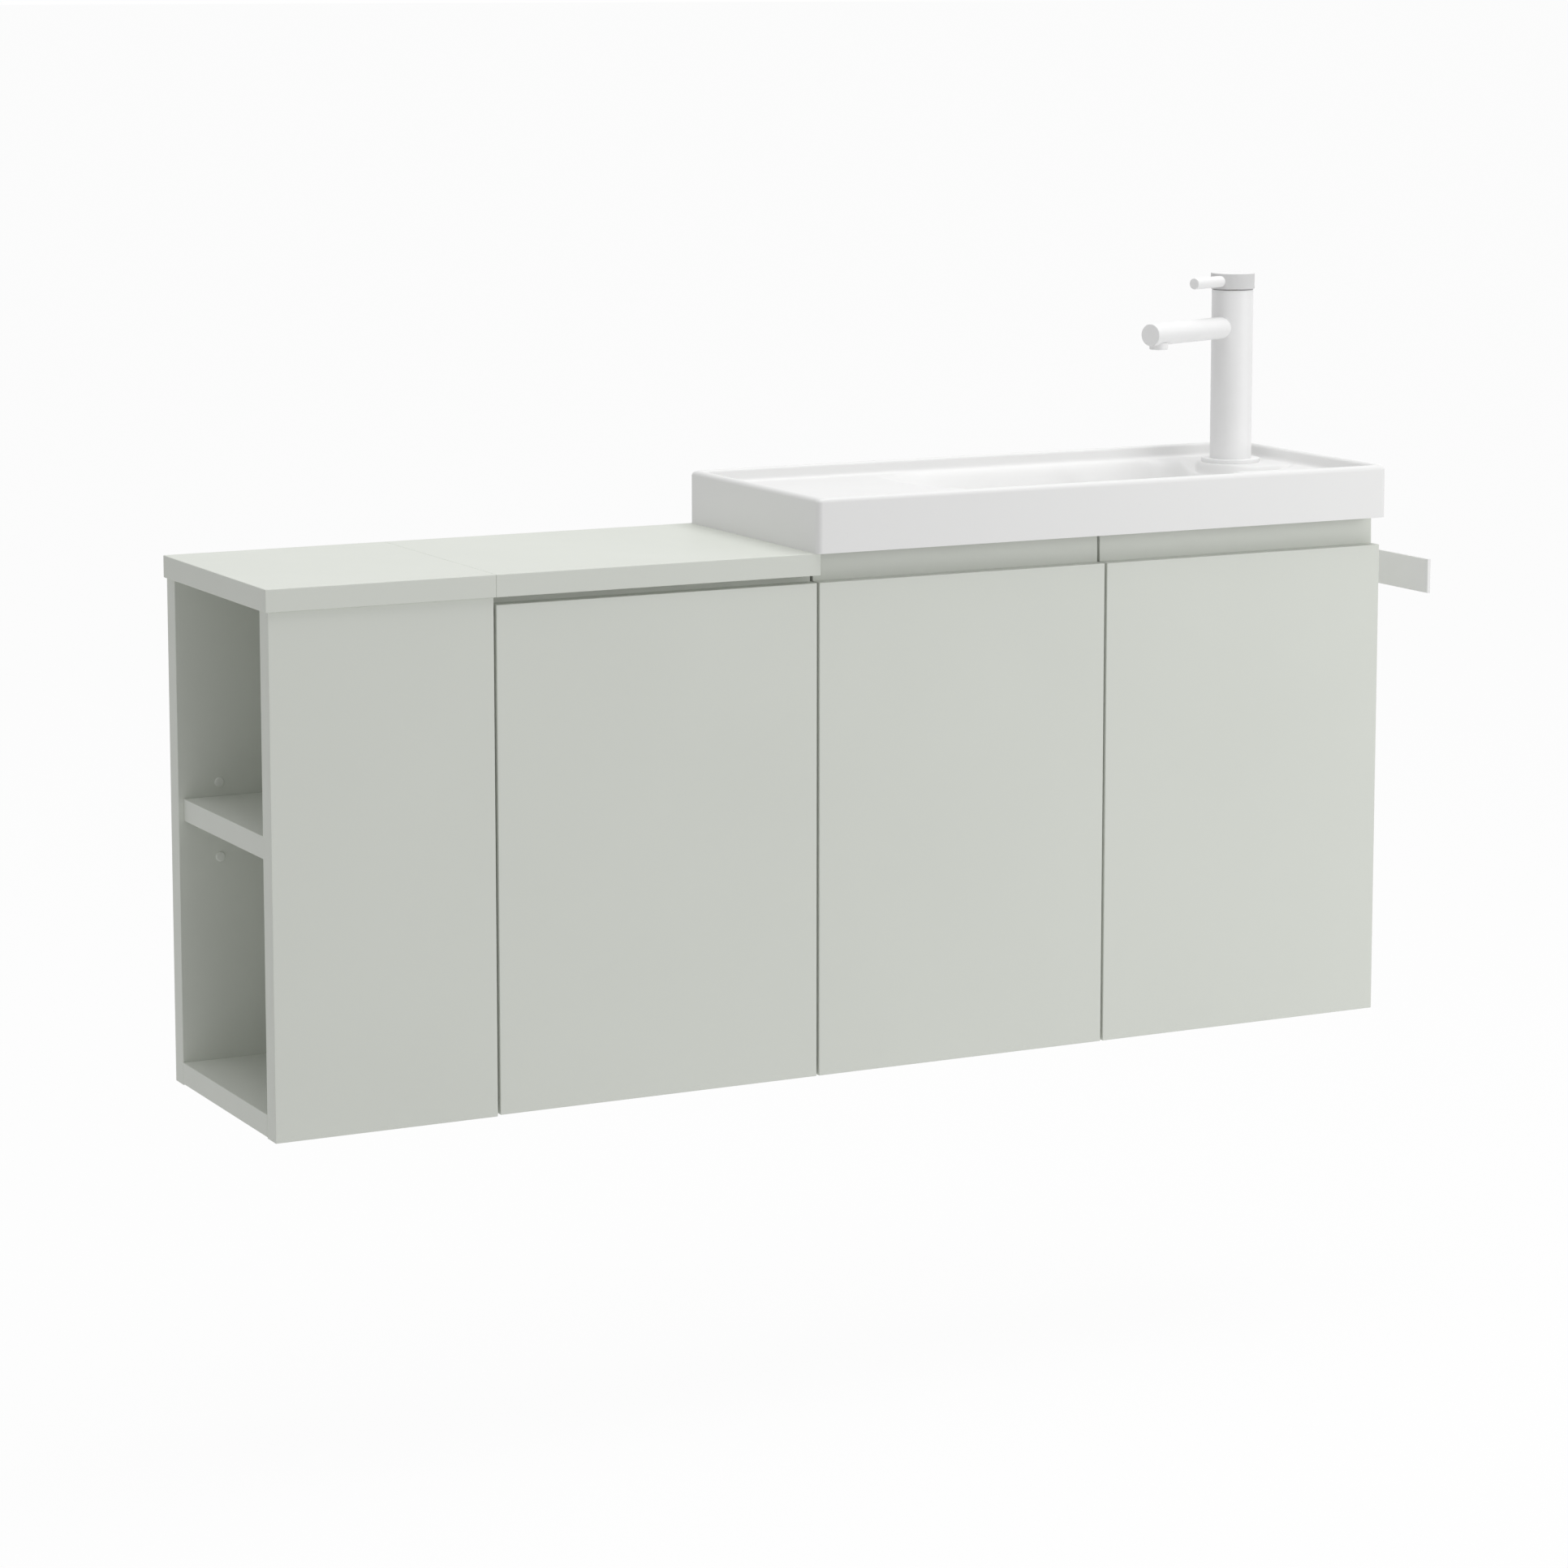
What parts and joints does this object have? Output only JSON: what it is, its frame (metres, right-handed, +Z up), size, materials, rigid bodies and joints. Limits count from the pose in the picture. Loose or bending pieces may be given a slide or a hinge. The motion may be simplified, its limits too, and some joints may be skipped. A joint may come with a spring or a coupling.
{
  "type": "vanity unit",
  "caption": "Wall-hung narrow vanity: open end shelf cabinet, door bay under a worktop, and a door base under a shallow rectangular basin with pillar tap and flat side towel rail.",
  "frame": {"origin": "on the wall face, midway between the two wall screws of the basin cabinet", "axes": "+X right along the wall, +Y into the wall, +Z up"},
  "size_m": [1.1924, 0.261, 0.7031],
  "materials": {
    "board": "matte lacquered fibreboard, pale grey-green",
    "steel": "zinc-plated",
    "dowel_wood": "raw beech",
    "cap_plastic": "moulded in the colour of the boards",
    "buffer": "clear soft rubber",
    "glaze": "white gloss glaze",
    "chrome_waste": "polished chrome",
    "seal": "black rubber",
    "nut_plastic": "white moulded",
    "tap_white": "matte white powder coat",
    "cartridge": "moulded",
    "brass_core": "machined",
    "strip_white": "pale grey-white powder coat"
  },
  "bodies": {
    "cabinet": {"end_front_panel": "board", "end_back_board": "board", "end_inner_side": "board", "end_bottom_board": "board", "end_shelf": "board", "shelf_pins": "steel", "pin_hole_caps": "cap_plastic", "worktop_left": "board", "worktop_right": "board", "worktop_cleat": "board", "worktop_dowels": "dowel_wood", "middle_rear_rail": "board", "middle_right_side": "board", "base_left_side": "board", "base_right_side": "board", "base_bottom_board": "board", "base_front_rail": "board", "base_hanging_rail": "board", "cams_end_cabinet": "steel", "cams_middle_bay": "steel", "cams_basin_cabinet": "steel", "linking_bolts": "steel", "cleat_screws": "steel", "door_buffers": "buffer", "hinge_arms_middle": "steel", "hinge_arms_left": "steel", "hinge_arms_right": "steel", "hinge_plates_middle": "steel", "hinge_plates_left": "steel", "hinge_plates_right": "steel", "hinge_plate_screws": "steel", "basin": "glaze", "waste_flange": "chrome_waste", "waste_body": "chrome_waste", "waste_seal": "seal", "waste_nut": "nut_plastic", "tap_body": "tap_white", "tap_base_ring": "tap_white", "tap_spout": "tap_white", "tap_aerator": "tap_white", "tap_cartridge": "cartridge", "tap_tail": "brass_core", "tap_washer": "seal", "tap_nut": "brass_core", "towel_rail": "strip_white", "towel_rail_screws": "steel"},
    "middle_door": {"door_middle": "board", "hinge_cups_middle": "steel"},
    "left_door": {"door_left": "board", "hinge_cups_left": "steel"},
    "right_door": {"door_right": "board", "hinge_cups_right": "steel"},
    "tap_handle": {"tap_cap": "tap_white", "tap_stem": "brass_core", "tap_lever": "tap_white"},
    "plug": {"waste_plug": "chrome_waste"}
  },
  "joints": [
    {"name": "middle_door_hinge", "type": "hinge", "parent": "cabinet", "child": "middle_door", "pos_m": [-0.30375, -0.253, -0.16], "axis": [0, 0, 1], "range_deg": [0, 90]},
    {"name": "left_door_hinge", "type": "hinge", "parent": "cabinet", "child": "left_door", "pos_m": [-0.30125, -0.253, -0.16], "axis": [0, 0, -1], "range_deg": [0, 90]},
    {"name": "right_door_hinge", "type": "hinge", "parent": "cabinet", "child": "right_door", "pos_m": [0.30125, -0.253, -0.16], "axis": [0, 0, 1], "range_deg": [0, 95]},
    {"name": "tap_turn", "type": "hinge", "parent": "cabinet", "child": "tap_handle", "pos_m": [0.25175, -0.066, 0.31], "axis": [0, 0, 1], "range_deg": [0, 90]},
    {"name": "plug_press", "type": "slide", "parent": "cabinet", "child": "plug", "axis": [0, 0, -1], "range_m": [0, 0.007]}
  ]
}
